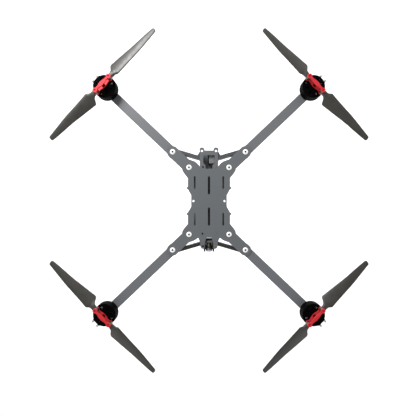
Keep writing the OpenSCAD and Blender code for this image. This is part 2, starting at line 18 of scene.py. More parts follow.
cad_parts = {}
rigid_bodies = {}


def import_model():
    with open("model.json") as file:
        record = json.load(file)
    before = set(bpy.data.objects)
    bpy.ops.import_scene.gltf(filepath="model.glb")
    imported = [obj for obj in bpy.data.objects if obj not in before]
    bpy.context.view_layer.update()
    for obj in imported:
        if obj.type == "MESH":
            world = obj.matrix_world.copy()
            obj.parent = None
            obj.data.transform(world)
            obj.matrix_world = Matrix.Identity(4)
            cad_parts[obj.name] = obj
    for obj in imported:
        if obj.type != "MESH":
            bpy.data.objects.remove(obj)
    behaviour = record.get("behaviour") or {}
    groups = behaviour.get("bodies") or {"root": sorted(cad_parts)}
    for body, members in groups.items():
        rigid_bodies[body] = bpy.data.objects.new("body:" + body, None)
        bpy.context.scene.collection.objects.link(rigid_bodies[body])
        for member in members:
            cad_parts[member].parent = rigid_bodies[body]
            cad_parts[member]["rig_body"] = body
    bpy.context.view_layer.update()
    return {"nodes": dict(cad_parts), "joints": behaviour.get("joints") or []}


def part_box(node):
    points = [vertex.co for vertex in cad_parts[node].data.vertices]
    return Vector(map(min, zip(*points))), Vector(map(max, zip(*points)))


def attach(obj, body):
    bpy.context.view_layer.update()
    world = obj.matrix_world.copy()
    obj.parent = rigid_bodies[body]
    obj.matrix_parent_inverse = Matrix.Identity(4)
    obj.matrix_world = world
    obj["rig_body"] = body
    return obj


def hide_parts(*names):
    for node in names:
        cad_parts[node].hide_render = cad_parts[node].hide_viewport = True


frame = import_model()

LOG = logging.getLogger("drone")
MM = 0.001
PATTERN = "pattern"
ARM_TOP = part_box("arm_front_left")[1].z
CORNERS = ("front_left", "front_right", "rear_left", "rear_right")
NODES = frame["nodes"]
JOINTS = {joint["name"]: joint for joint in frame["joints"]}
ARM_CROSS = 38.4 * MM     # where an arm's line meets the long centreline, from the middle
BLADE_HANDS = {"front_left": 1, "front_right": -1, "rear_left": -1, "rear_right": 1}


# ---------------------------------------------------------------- small helpers

def linear(code: str) -> tuple[float, float, float, float]:
    """Turns an sRGB hex colour into linear RGBA.

    Args:
        code: Six hex digits.

    Returns:
        Red, green, blue and an alpha of one, all linear.
    """
    values = [int(code[i:i + 2], 16) / 255 for i in (0, 2, 4)]
    return (*[v / 12.92 if v <= 0.04045 else ((v + 0.055) / 1.055) ** 2.4 for v in values], 1.0)


def add(tree: bpy.types.NodeTree, kind: str, inputs: dict | None = None, **settings) -> bpy.types.Node:
    """Adds a node with its settings, its constants and its incoming links.

    Args:
        tree: The tree that gets the node.
        kind: The node's type name.
        inputs: Socket name or index to a constant or to the output socket that feeds it.
        **settings: Attributes of the node itself.

    Returns:
        The new node.
    """
    made = tree.nodes.new(kind)
    for name, value in settings.items():
        setattr(made, name, value)
    for key, value in (inputs or {}).items():
        socket = made.inputs[key]
        if isinstance(value, bpy.types.NodeSocket):
            tree.links.new(value, socket)
        else:
            socket.default_value = value
    return made


def joint_place(name: str) -> Vector:
    """Returns the point that a joint turns about, in the shared frame."""
    return Vector(JOINTS[name]["pos_m"])


def new_piece(name: str, mesh: bpy.types.Mesh) -> bpy.types.Object:
    """Links a mesh into the scene as an object at the origin."""
    piece = bpy.data.objects.new(name, mesh)
    bpy.context.scene.collection.objects.link(piece)
    return piece


def bake_modifiers(piece: bpy.types.Object) -> bpy.types.Object:
    """Replaces a piece's mesh by its evaluated one and removes its modifiers.

    Args:
        piece: The object whose modifiers are finished.

    Returns:
        The same object, with a plain mesh.
    """
    depsgraph = bpy.context.evaluated_depsgraph_get()
    mesh = bpy.data.meshes.new_from_object(piece.evaluated_get(depsgraph), depsgraph=depsgraph)
    piece.modifiers.clear()
    piece.data = mesh
    return piece


class Wrap(Enum):
    """How pattern coordinates lie on a piece."""

    FLAT = "by the way each face looks, in metres"
    TURNED = "by distance from an axis and along it, in metres"


def lay_pattern(mesh: bpy.types.Mesh, wrap: Wrap, places: list[Matrix]) -> None:
    """Writes the UV map that the finishes read, in metres.

    Args:
        mesh: The mesh to mark.
        wrap: Whether the pattern runs flat or round an axis.
        places: Frames of the pattern, its axis along Z; each face takes the nearest one.
    """
    inverses = [place.inverted() for place in places]
    layer = mesh.uv_layers.get(PATTERN) or mesh.uv_layers.new(name=PATTERN)
    for face in mesh.polygons:
        near = min(range(len(places)), key=lambda i: (places[i].translation - face.center).length)
        inverse = inverses[near]
        normal = inverse.to_3x3() @ face.normal
        sizes = [abs(value) for value in normal]
        main = sizes.index(max(sizes))
        for loop in face.loop_indices:
            point = inverse @ mesh.vertices[mesh.loops[loop].vertex_index].co
            if wrap is Wrap.FLAT:
                first, second = ((1, 2), (0, 2), (0, 1))[main]
                layer.data[loop].uv = (point[first], point[second])
            else:
                radius = math.hypot(point.x, point.y)
                along = radius if main == 2 else point.z
                layer.data[loop].uv = (along, math.atan2(point.y, point.x) * radius)


def smooth_shading(piece: bpy.types.Object, angle_deg: float = 32.0) -> None:
    """Shades a piece smoothly but keeps edges sharper than an angle."""
    piece.data.shade_smooth()
    piece.data.set_sharp_from_angle(angle=math.radians(angle_deg))


def soften(node: str, name: str, radius_mm: float, segments: int = 2) -> bpy.types.Object:
    """Copies a CAD node with its sharp edges rounded, and lets the copy stand for it.

    Args:
        node: The CAD node to copy.
        name: The new piece's name.
        radius_mm: Radius of the rounded edges.
        segments: Faces across each rounded edge.

    Returns:
        The finished piece, already riding on the node's body.
    """
    mesh = bpy.data.meshes.new(name)
    shape = bmesh.new()
    shape.from_mesh(NODES[node].data)
    bmesh.ops.remove_doubles(shape, verts=shape.verts, dist=0.003 * MM)
    bmesh.ops.dissolve_degenerate(shape, edges=shape.edges, dist=0.003 * MM)
    bmesh.ops.dissolve_limit(
        shape, angle_limit=math.radians(0.6), verts=shape.verts[:], edges=shape.edges[:])
    for layer in list(shape.loops.layers.uv.values()):
        shape.loops.layers.uv.remove(layer)
    shape.to_mesh(mesh)
    shape.free()
    piece = new_piece(name, mesh)
    bevel = piece.modifiers.new("rounded edges", "BEVEL")
    bevel.width = radius_mm * MM
    bevel.segments = segments
    bevel.limit_method = "ANGLE"
    bevel.angle_limit = math.radians(38)
    smooth_shading(piece)
    piece.modifiers.new("face normals", "WEIGHTED_NORMAL").keep_sharp = True
    bake_modifiers(piece)
    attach(piece, NODES[node]["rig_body"])
    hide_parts(node)
    return piece


def dress(piece: bpy.types.Object, finish: "Finish", wrap: Wrap, places: list[Matrix]) -> bpy.types.Object:
    """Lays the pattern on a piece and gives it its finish.

    Args:
        piece: The piece to dress.
        finish: The finish it gets.
        wrap: How the pattern lies.
        places: Frames of the pattern.

    Returns:
        The same piece.
    """
    lay_pattern(piece.data, wrap, places)
    piece.data.materials.clear()
    piece.data.materials.append(material_of(finish))
    LOG.info("%s: %d faces, %s", piece.name, len(piece.data.polygons), finish.name)
    return piece


# ---------------------------------------------------------------- finishes

@dataclass(frozen=True)
class Finish:
    """A named surface; each kind fills in its own nodes."""

    name: str

    def pattern(self, tree: bpy.types.NodeTree, scale_mm: float) -> bpy.types.NodeSocket:
        """Returns the piece's pattern coordinates, in units of scale_mm."""
        uv = add(tree, "ShaderNodeUVMap", uv_map=PATTERN)
        factor = 1 / (scale_mm * MM)
        return add(tree, "ShaderNodeVectorMath", {0: uv.outputs[0], 1: (factor,) * 3},
                   operation="MULTIPLY").outputs[0]

    def surface(self, tree: bpy.types.NodeTree, shader: bpy.types.Node) -> None:
        """Fills in the shader's colour, roughness and bump."""
        raise NotImplementedError


@cache
def material_of(finish: Finish) -> bpy.types.Material:
    """Builds the material of a finish once.

    Args:
        finish: The finish to build.

    Returns:
        Its material.
    """
    material = bpy.data.materials.new(finish.name)
    material.use_nodes = True
    tree = material.node_tree
    tree.nodes.clear()
    shader = add(tree, "ShaderNodeBsdfPrincipled")
    add(tree, "ShaderNodeOutputMaterial", {"Surface": shader.outputs[0]})
    finish.surface(tree, shader)
    return material


def speckle(tree: bpy.types.NodeTree, scale: float, detail: float, low: float, high: float,
            vector: bpy.types.NodeSocket | None = None) -> bpy.types.NodeSocket:
    """Adds noise mapped to a range.

    Args:
        tree: The material's tree.
        scale: Noise scale, per metre on Object coordinates or per pattern unit.
        detail: Octaves of the noise.
        low: Value at the dark end.
        high: Value at the bright end.
        vector: Coordinates; the Object coordinates if left out.

    Returns:
        The mapped value.
    """
    if vector is None:
        vector = add(tree, "ShaderNodeTexCoord").outputs["Object"]
    noise = add(tree, "ShaderNodeTexNoise", {"Vector": vector, "Scale": scale, "Detail": detail})
    return add(tree, "ShaderNodeMapRange", {
        "Value": noise.outputs[0], "From Min": 0.3, "From Max": 0.7, "To Min": low, "To Max": high,
    }).outputs[0]


def blend_colour(tree: bpy.types.NodeTree, factor: float | bpy.types.NodeSocket,
                 first: tuple | bpy.types.NodeSocket,
                 second: tuple | bpy.types.NodeSocket) -> bpy.types.NodeSocket:
    """Mixes two colours, each a constant or a socket.

    Args:
        tree: The material's tree.
        factor: Share of the second colour.
        first: Colour at nought.
        second: Colour at one.

    Returns:
        The socket of the mixed colour.
    """
    mix = add(tree, "ShaderNodeMix", data_type="RGBA")
    for index, value in ((0, factor), (6, first), (7, second)):
        if isinstance(value, bpy.types.NodeSocket):
            tree.links.new(value, mix.inputs[index])
        else:
            mix.inputs[index].default_value = value
    return mix.outputs[2]


def math_node(tree: bpy.types.NodeTree, operation: str, first: float | bpy.types.NodeSocket,
              second: float | bpy.types.NodeSocket = 0.0) -> bpy.types.NodeSocket:
    """Returns the result of a two-input sum on values or sockets."""
    return add(tree, "ShaderNodeMath", {0: first, 1: second}, operation=operation).outputs[0]


def bump(tree: bpy.types.NodeTree, shader: bpy.types.Node, height: bpy.types.NodeSocket,
         depth_mm: float, strength: float = 1.0) -> None:
    """Feeds a height, nought to one, into a shader's normal."""
    made = add(tree, "ShaderNodeBump", {
        "Height": height, "Distance": depth_mm * MM, "Strength": strength})
    tree.links.new(made.outputs[0], shader.inputs["Normal"])


@dataclass(frozen=True)
class TwillCarbon(Finish):
    """Carbon-fibre laminate, resin-cured and cut: the two-by-two twill glints one way, then the other."""

    warp: str = "56595C"
    weft: str = "525558"
    cut_edge_and_shade: str = "1E1F21"
    tow_mm: float = 2.0
    roughness: float = 0.42
    coat: float = 0.15

    def surface(self, tree: bpy.types.NodeTree, shader: bpy.types.Node) -> None:
        """Draws tows, their roundness, resin mottling, and a darker colour on upright faces that is partly
        the cut edge's own colour and partly painted shade.
        """
        uv = self.pattern(tree, self.tow_mm)
        parts = add(tree, "ShaderNodeSeparateXYZ", {0: uv})
        across, along = parts.outputs[0], parts.outputs[1]
        cell = math_node(tree, "ADD", math_node(tree, "FLOOR", across), math_node(tree, "FLOOR", along))
        step = math_node(tree, "FLOORED_MODULO", cell, 4.0)
        on_top = math_node(tree, "LESS_THAN", step, 1.5)
        mottle = speckle(tree, 55.0, 3.0, 0.0, 1.0)
        colour = blend_colour(tree, on_top, linear(self.weft), linear(self.warp))
        colour = blend_colour(tree, math_node(tree, "MULTIPLY", mottle, 0.22), colour, linear(self.weft))
        # Upright faces take the darker cut-edge colour: partly the laminate's own cut edge, partly painted
        # shade on the side walls.
        facing = add(tree, "ShaderNodeTexCoord").outputs["Normal"]
        upright = math_node(tree, "ABSOLUTE", add(tree, "ShaderNodeSeparateXYZ", {0: facing}).outputs[2])
        side = add(tree, "ShaderNodeMapRange", {
            "Value": upright, "From Min": 0.3, "From Max": 0.75, "To Min": 1.0, "To Max": 0.0}).outputs[0]
        side_shade_mix = math_node(tree, "MULTIPLY", side, self.side_shade_share())
        tree.links.new(
            blend_colour(tree, side_shade_mix, colour, linear(self.cut_edge_and_shade)), shader.inputs["Base Color"])
        rough = math_node(tree, "MULTIPLY_ADD", on_top, 0.07)
        rough.node.inputs[2].default_value = self.roughness
        tree.links.new(rough, shader.inputs["Roughness"])
        shader.inputs["Coat Weight"].default_value = self.coat
        shader.inputs["Coat Roughness"].default_value = 0.22
        waves = [
            math_node(tree, "ABSOLUTE",
                      math_node(tree, "SINE", math_node(tree, "MULTIPLY", axis, math.pi)))
            for axis in (across, along)]
        tow = add(tree, "ShaderNodeMix", {0: on_top, 2: waves[1], 3: waves[0]}).outputs[0]
        bump(tree, shader, tow, 0.03, 0.5)

    def side_shade_share(self) -> float:
        """Returns how much of the cut-edge colour, partly painted shade, the upright faces take."""
        return 0.85


@dataclass(frozen=True)
class TubeCarbon(TwillCarbon):
    """Pultruded square tube with a woven outer ply: the weave goes on round its sides."""

    def side_shade_share(self) -> float:
        """Returns the small share of painted shade by which the tube's sides are darker."""
        return 0.35


@dataclass(frozen=True)
class BladeCarbon(Finish):
    """Moulded carbon blade under clear resin: brown-black, with fine lengthwise fibre and a wet gloss."""

    base: str = "2C2A26"
    fibre: str = "201F1C"
    roughness: float = 0.40

    def surface(self, tree: bpy.types.NodeTree, shader: bpy.types.Node) -> None:
        """Draws stretched fibre, soft resin pools and scuffs."""
        uv = self.pattern(tree, 1.0)
        stretched = add(tree, "ShaderNodeVectorMath", {0: uv, 1: (0.05, 1.4, 1.0)},
                        operation="MULTIPLY").outputs[0]
        fibre = speckle(tree, 1.0, 4.0, 0.0, 1.0, stretched)
        pools = speckle(tree, 38.0, 2.0, 0.0, 0.35)
        colour = blend_colour(tree, fibre, linear(self.base), linear(self.fibre))
        tree.links.new(
            blend_colour(tree, pools, colour, linear("3A3732")), shader.inputs["Base Color"])
        tree.links.new(speckle(tree, 90.0, 4.0, self.roughness, self.roughness + 0.12),
                       shader.inputs["Roughness"])
        shader.inputs["Coat Weight"].default_value = 0.15
        shader.inputs["Coat Roughness"].default_value = 0.2
        bump(tree, shader, fibre, 0.02, 0.35)


@dataclass(frozen=True)
class Anodised(Finish):
    """Anodised aluminium: a dyed oxide skin over cut metal, worn paler in fine scratches."""

    colour: str = "101113"
    worn: str = "2B2D30"
    roughness: float = 0.38
    metallic: float = 0.75
    ring_mm: float = 0.35
    specular: float = 0.5

    def surface(self, tree: bpy.types.NodeTree, shader: bpy.types.Node) -> None:
        """Draws cutter marks one ring_mm apart, dye variation and scratches."""
        uv = self.pattern(tree, self.ring_mm)
        along = add(tree, "ShaderNodeSeparateXYZ", {0: uv}).outputs[0]
        lines = add(tree, "ShaderNodeTexNoise", {"W": along, "Scale": 1.0, "Detail": 2.0},
                    noise_dimensions="1D").outputs[0]
        dye = speckle(tree, 120.0, 3.0, 0.0, 0.35)
        scratch = speckle(tree, 900.0, 2.0, -1.2, 0.45)
        wear = math_node(tree, "MAXIMUM", dye, scratch)
        tree.links.new(blend_colour(tree, wear, linear(self.colour), linear(self.worn)),
                       shader.inputs["Base Color"])
        rough = math_node(tree, "MULTIPLY_ADD", lines, 0.16)
        rough.node.inputs[2].default_value = self.roughness - 0.08
        tree.links.new(rough, shader.inputs["Roughness"])
        shader.inputs["Metallic"].default_value = self.metallic
        shader.inputs["Specular IOR Level"].default_value = self.specular
        bump(tree, shader, lines, 0.012, 0.5)


@dataclass(frozen=True)
class Steel(Finish):
    """Plated or stainless steel: turned on a lathe, then tumbled, with a little haze."""

    colour: str = "D9DADB"
    shade: str = "A9ABAD"
    roughness: float = 0.24
    ring_mm: float = 0.3
    metallic: float = 1.0
    # Radius within which a socket's floor is painted near black as painted shade.
    socket_shade_mm: float = 0.0

    def surface(self, tree: bpy.types.NodeTree, shader: bpy.types.Node) -> None:
        """Draws turning rings, haze and painted shade on the floor of a driver socket."""
        uv = self.pattern(tree, self.ring_mm)
        along = add(tree, "ShaderNodeSeparateXYZ", {0: uv}).outputs[0]
        rings = add(tree, "ShaderNodeTexNoise", {"W": along, "Scale": 1.0, "Detail": 3.0},
                    noise_dimensions="1D").outputs[0]
        haze = speckle(tree, 300.0, 4.0, 0.0, 0.5)
        colour = blend_colour(tree, haze, linear(self.colour), linear(self.shade))
        # Painted shade: faces whose first pattern coordinate is under the socket radius, such as a bolt
        # head's socket floor, are painted near black.
        socket = math_node(tree, "LESS_THAN", along, self.socket_shade_mm / self.ring_mm)
        tree.links.new(blend_colour(tree, socket, colour, linear("0B0B0C")), shader.inputs["Base Color"])
        rough = math_node(tree, "MULTIPLY_ADD", rings, 0.14)
        rough.node.inputs[2].default_value = self.roughness
        tree.links.new(rough, shader.inputs["Roughness"])
        shader.inputs["Metallic"].default_value = self.metallic
        bump(tree, shader, rings, 0.008, 0.5)


@dataclass(frozen=True)
class Moulded(Finish):
    """Injection-moulded plastic: an even colour with a fine spark-eroded grain and faint flow lines."""

    colour: str = "161617"
    flow: str = "222223"
    grain_mm: float = 0.5
    roughness: float = 0.55
    grain_depth_mm: float = 0.03

    def surface(self, tree: bpy.types.NodeTree, shader: bpy.types.Node) -> None:
        """Draws the grain as bump and the flow lines as a slow change of shade."""
        coordinates = add(tree, "ShaderNodeTexCoord").outputs["Object"]
        grain = add(tree, "ShaderNodeTexVoronoi", {
            "Vector": coordinates, "Scale": 1 / (self.grain_mm * MM)}, feature="SMOOTH_F1").outputs[0]
        flow = speckle(tree, 45.0, 2.0, 0.0, 0.7)
        tree.links.new(blend_colour(tree, flow, linear(self.colour), linear(self.flow)),
                       shader.inputs["Base Color"])
        tree.links.new(speckle(tree, 250.0, 3.0, self.roughness - 0.06, self.roughness + 0.08),
                       shader.inputs["Roughness"])
        bump(tree, shader, grain, self.grain_depth_mm, 0.5)


@dataclass(frozen=True)
class StrutNylon(Finish):
    """Glass-filled nylon struts in one black nylon: the rear pair is painted a lighter blue-grey as
    painted light, the front pair jet black as painted shade.
    """

    # Painted shade for the front pair and painted light for the rear pair.
    shaded_nose: str = "0C0B0A"
    lit_tail: str = "3A3E41"
    roughness: float = 0.5

    def surface(self, tree: bpy.types.NodeTree, shader: bpy.types.Node) -> None:
        """Draws the painted light and shade of the two pairs, the fibres near the skin and a coarse grain.
        """
        place = add(tree, "ShaderNodeTexCoord").outputs["Object"]
        along_body = add(tree, "ShaderNodeSeparateXYZ", {0: place}).outputs[1]
        # Painted light: struts behind the middle take the lit blue-grey, those ahead the shaded black.
        lit_behind = math_node(tree, "GREATER_THAN", along_body, 0.0)
        colour = blend_colour(tree, lit_behind, linear(self.shaded_nose), linear(self.lit_tail))
        fibres = speckle(tree, 380.0, 5.0, 0.0, 0.3)
        tree.links.new(blend_colour(tree, fibres, colour, linear("34322F")), shader.inputs["Base Color"])
        tree.links.new(speckle(tree, 250.0, 3.0, self.roughness - 0.06, self.roughness + 0.08),
                       shader.inputs["Roughness"])
        grain = add(tree, "ShaderNodeTexVoronoi", {"Vector": place, "Scale": 1250.0},
                    feature="SMOOTH_F1").outputs[0]
        bump(tree, shader, grain, 0.03, 0.5)


@dataclass(frozen=True)
class SolderMask(Finish):
    """Circuit board: glass-epoxy under solder mask, with copper tracks that show as a raised tint."""

    mask: str = "0E1A22"
    track: str = "1D3A3E"
    pad: str = "C9B37A"

    def surface(self, tree: bpy.types.NodeTree, shader: bpy.types.Node) -> None:
        """Draws tracks one and a half millimetres apart, and gold pads where cells come out bright."""
        uv = self.pattern(tree, 1.5)
        cells = add(tree, "ShaderNodeTexVoronoi", {"Vector": uv, "Scale": 1.0},
                    voronoi_dimensions="2D", feature="F1", distance="CHEBYCHEV")
        track = add(tree, "ShaderNodeMapRange", {
            "Value": cells.outputs[0], "From Min": 0.3, "From Max": 0.34}).outputs[0]
        shade = add(tree, "ShaderNodeSeparateXYZ", {0: cells.outputs[1]}).outputs[0]
        gold = math_node(tree, "MULTIPLY", math_node(tree, "GREATER_THAN", shade, 0.86),
                         math_node(tree, "LESS_THAN", cells.outputs[0], 0.24))
        colour = blend_colour(tree, track, linear(self.track), linear(self.mask))
        tree.links.new(blend_colour(tree, gold, colour, linear(self.pad)), shader.inputs["Base Color"])
        tree.links.new(gold, shader.inputs["Metallic"])
        tree.links.new(speckle(tree, 400.0, 2.0, 0.25, 0.42), shader.inputs["Roughness"])
        bump(tree, shader, track, 0.035, 0.4)


@dataclass(frozen=True)
class EnamelledCopper(Finish):
    """Magnet wire: copper under an amber enamel, painted dark brown as painted shade for coils deep inside
    the bell, each turn a little different.
    """

    # Copper darkened by painted shade, in two tones for the uneven enamel.
    colour: str = "2A150B"
    shaded_dark: str = "140A06"

    def surface(self, tree: bpy.types.NodeTree, shader: bpy.types.Node) -> None:
        """Draws the enamel's uneven tint and its soft gloss."""
        tint = speckle(tree, 700.0, 3.0, 0.0, 0.8)
        tree.links.new(blend_colour(tree, tint, linear(self.colour), linear(self.shaded_dark)),
                       shader.inputs["Base Color"])
        tree.links.new(speckle(tree, 500.0, 2.0, 0.22, 0.4), shader.inputs["Roughness"])
        shader.inputs["Metallic"].default_value = 0.85
        shader.inputs["Coat Weight"].default_value = 0.5


@dataclass(frozen=True)
class CoatedGlass(Finish):
    """Wide lens of ground glass: the violet and white that its anti-reflection coating throws back are
    painted into its colour as painted reflection.
    """

    # Colours of the painted reflection: pale violet-white face-on, deeper violet towards the rim.
    tint: str = "BAB6D4"
    rim_reflection: str = "6E6A9C"

    def surface(self, tree: bpy.types.NodeTree, shader: bpy.types.Node) -> None:
        """Paints the reflection deeper violet at the rim than in the middle and keeps the face sharp and
        glossy.
        """
        rim = add(tree, "ShaderNodeLayerWeight", {"Blend": 0.35}).outputs["Facing"]
        dust = speckle(tree, 1500.0, 2.0, 0.0, 0.12)
        share = math_node(tree, "ADD", rim, dust)
        tree.links.new(blend_colour(tree, share, linear(self.tint), linear(self.rim_reflection)),
                       shader.inputs["Base Color"])
        tree.links.new(speckle(tree, 900.0, 3.0, 0.04, 0.12), shader.inputs["Roughness"])
        shader.inputs["IOR"].default_value = 1.7
        shader.inputs["Coat Weight"].default_value = 1.0
        shader.inputs["Coat Roughness"].default_value = 0.03


PLATE = TwillCarbon("carbon laminate plate")
# The tube's cut-edge colour is painted shade on its woven sides.
TUBE = TubeCarbon("woven carbon tube", warp="5E6063", weft="595B5E", cut_edge_and_shade="2A2B2D")
BLADE = BladeCarbon("moulded carbon blade")
BLACK_ANODISED = Anodised("black anodised aluminium", colour="010101", worn="060607", roughness=0.7,
                          metallic=0.0, specular=0.03)
RED_ANODISED = Anodised("red anodised aluminium", colour="BE161F", worn="D23A44",
                        roughness=0.5, metallic=0.35, ring_mm=0.25)
RED_PIN = Anodised("dark red anodised pin", colour="B41826", worn="D8303C", roughness=0.4, metallic=0.55,
                   ring_mm=0.25)
BRIGHT_STEEL = Steel("tumbled stainless steel")
# The bolt's socket floor is painted near black as painted shade.
BOLT_STEEL = Steel("satin nickel-plated bolt", colour="FAFAF8", shade="E6E6E4", roughness=0.36,
                   metallic=0.3, socket_shade_mm=3.0)
BLACK_OXIDE = Steel("black-oxide steel", colour="1C1C1D", shade="101011", roughness=0.42)
LAMINATION = Steel("lacquered steel laminations", colour="242526", shade="151516", roughness=0.5)
PEG_STEEL = Steel("tumbled screw steel", colour="C6C8CA", shade="A6A8AA", roughness=0.36, metallic=0.8)
GREY_STEEL = Steel("zinc-plated steel", colour="8F9193", shade="6E7072", roughness=0.36)
NICKEL = Steel("nickel-plated magnet", colour="B8B2A6", shade="8E897E", roughness=0.3, ring_mm=0.8)
BARE_ALUMINIUM = Steel("bead-blasted aluminium", colour="A4A6A8", shade="85878A", roughness=0.48)
STRUT_NYLON = StrutNylon("glass-filled nylon strut")
BLACK_NYLON = Moulded("black nylon", colour="131314", flow="1F1F20")
CAMERA_SHELL = Moulded("camera shell", colour="2A2A2B", flow="39393A", grain_mm=0.3, roughness=0.42)
LENS_BARREL = Anodised("lens barrel", colour="26271F", worn="45463B", roughness=0.4, metallic=0.6,
                       ring_mm=0.5)
CHIP_EPOXY = Moulded("chip epoxy", colour="0D0D0E", flow="19191A", grain_mm=0.25, roughness=0.5)
WIRE_SILICONE = Moulded("silicone wire jacket", colour="151515", flow="232323", roughness=0.48)
BOARD = SolderMask("solder-masked board")
# The windings' copper carries painted shade, dark where the bells hide it.
SHADED_COPPER = EnamelledCopper("enamelled copper wire")
PAINTED_LENS = CoatedGlass("coated lens glass")
FLOOR = Moulded("painted studio floor", colour="F4F4F4", flow="F2F2F2", grain_mm=2.0, roughness=0.9,
                grain_depth_mm=0.02)


# ---------------------------------------------------------------- shared places

def arm_place(corner: str, along: float = 0.0, across: float = 0.0, up: float = 0.0) -> Matrix:
    """Finds a place on an arm: X runs out along the arm and Z up.

    Args:
        corner: The arm's corner.
        along: Distance out from where its line meets the long centreline.
        across: Distance to the arm's left.
        up: Height over the underside.

    Returns:
        The frame there.
    """
    motor = joint_place(f"spin_{corner}").to_2d()
    start = Vector((0, math.copysign(ARM_CROSS, motor.y)))
    way = motor - start
    return (Matrix.Translation(start.to_3d()) @ Matrix.Rotation(math.atan2(way.y, way.x), 4, "Z")
            @ Matrix.Translation((along, across, up)))


def rotor_place(corner: str) -> Matrix:
    """Returns the frame on a motor's axis at the arm's top, X along the line of its blades."""
    centre = joint_place(f"spin_{corner}")
    out = joint_place(f"fold_a_{corner}") - centre
    return (Matrix.Translation((centre.x, centre.y, ARM_TOP))
            @ Matrix.Rotation(math.atan2(out.y, out.x), 4, "Z"))


@dataclass(frozen=True)
class Part:
    """How one CAD node is carried over: its finish, its pattern and its edge radius."""

    node: str
    finish: Finish
    wrap: Wrap = Wrap.FLAT
    edge_mm: float = 0.25
    slot_name: str = ""

    def build(self, places: list[Matrix]) -> bpy.types.Object:
        """Rounds the node's edges and dresses it.

        Args:
            places: Frames that its pattern starts from.

        Returns:
            The finished piece.
        """
        piece = soften(self.node, f"{self.node}_finished", self.edge_mm)
        return dress(piece, self.finish, self.wrap, places)


class Recipe:
    """A Geometry Nodes tree in the making, with named inputs for its sizes."""

    def __init__(self, name: str) -> None:
        """Starts the tree.

        Args:
            name: What the tree makes.
        """
        self.tree = bpy.data.node_groups.new(name, "GeometryNodeTree")
        self.tree.interface.new_socket("Geometry", in_out="INPUT", socket_type="NodeSocketGeometry")
        self.tree.interface.new_socket("Geometry", in_out="OUTPUT", socket_type="NodeSocketGeometry")
        self.inputs = add(self.tree, "NodeGroupInput")
        self.values: dict[str, float] = {}

    def value(self, name: str, value: float, kind: str = "NodeSocketFloat") -> bpy.types.NodeSocket:
        """Adds a named input.

        Args:
            name: The input's name.
            value: What it is set to.
            kind: The socket's type.

        Returns:
            The socket that carries it in the tree.
        """
        item = self.tree.interface.new_socket(name, in_out="INPUT", socket_type=kind)
        self.values[item.identifier] = value
        return next(s for s in self.inputs.outputs if s.identifier == item.identifier)

    @property
    def start(self) -> bpy.types.NodeSocket:
        """Returns the geometry that the tree starts from."""
        return self.inputs.outputs[0]

    def make(self, shape: bpy.types.NodeSocket, base: bpy.types.Mesh, name: str,
             finish: Finish) -> bpy.types.Object:
        """Ends the tree, runs it once and keeps the plain mesh.

        Args:
            shape: The geometry that the tree has built.
            base: The mesh that it starts from.
            name: The piece's name.
            finish: The finish that it carries.

        Returns:
            The piece, with no modifier on it.
        """
        plain = add(self.tree, "GeometryNodeRealizeInstances", {0: shape}).outputs[0]
        done = add(self.tree, "GeometryNodeSetMaterial", {0: plain, "Material": material_of(finish)})
        add(self.tree, "NodeGroupOutput", {0: done.outputs[0]})
        piece = new_piece(name, base)
        modifier = piece.modifiers.new(self.tree.name, "NODES")
        modifier.node_group = self.tree
        for identifier, value in self.values.items():
            modifier[identifier] = value
        return bake_modifiers(piece)


# ---------------------------------------------------------------- sub-assemblies

@dataclass(frozen=True)
class Airframe:
    """Two carbon plates, four square tubes, their tie struts and everything that clamps them."""

    inner_bolt: float = 73.3 * MM
    outer_bolt: float = 133.3 * MM
    tube_end: float = 411.5 * MM
    peg_offset: float = 8.4 * MM
    mid: float = 15.5 * MM

    def bolt_places(self) -> list[Matrix]:
        """Returns the axes of the eight arm bolts."""
        return [arm_place(corner, along) for corner in CORNERS
                for along in (self.inner_bolt, self.outer_bolt)]

    def peg_places(self) -> list[Matrix]:
        """Returns the axes of the eight end-plug screws, each pointing out of its arm."""
        return [arm_place(corner, self.tube_end, side * self.peg_offset, self.mid)
                @ Matrix.Rotation(math.radians(90), 4, "Y")
                for corner in CORNERS for side in (-1, 1)]

    def build(self) -> None:
        """Builds plates, tubes, struts, bolts and plugs."""
        body = [Matrix.Identity(4)]
        arms = [arm_place(corner, self.outer_bolt) for corner in CORNERS]
        for part in (Part("bottom_plate", PLATE, edge_mm=0.3), Part("top_plate", PLATE, edge_mm=0.3)):
            part.build(body)
        for corner in CORNERS:
            Part(f"arm_{corner}", TUBE, edge_mm=0.3).build([arm_place(corner)])
        Part("tie_struts", STRUT_NYLON, edge_mm=0.8).build(arms)
        Part("arm_bolts", BOLT_STEEL, Wrap.TURNED, 0.25).build(self.bolt_places())
        Part("arm_nuts", GREY_STEEL, Wrap.TURNED, 0.2).build(self.bolt_places())
        Part("arm_end_plugs", BLACK_NYLON, edge_mm=0.4).build(arms)
        Part("end_plug_screws", PEG_STEEL, Wrap.TURNED, 0.3).build(self.peg_places())
        Part("cage_posts", BARE_ALUMINIUM, edge_mm=0.2).build(body)
        Part("frame_screws", GREY_STEEL, edge_mm=0.15).build(body)


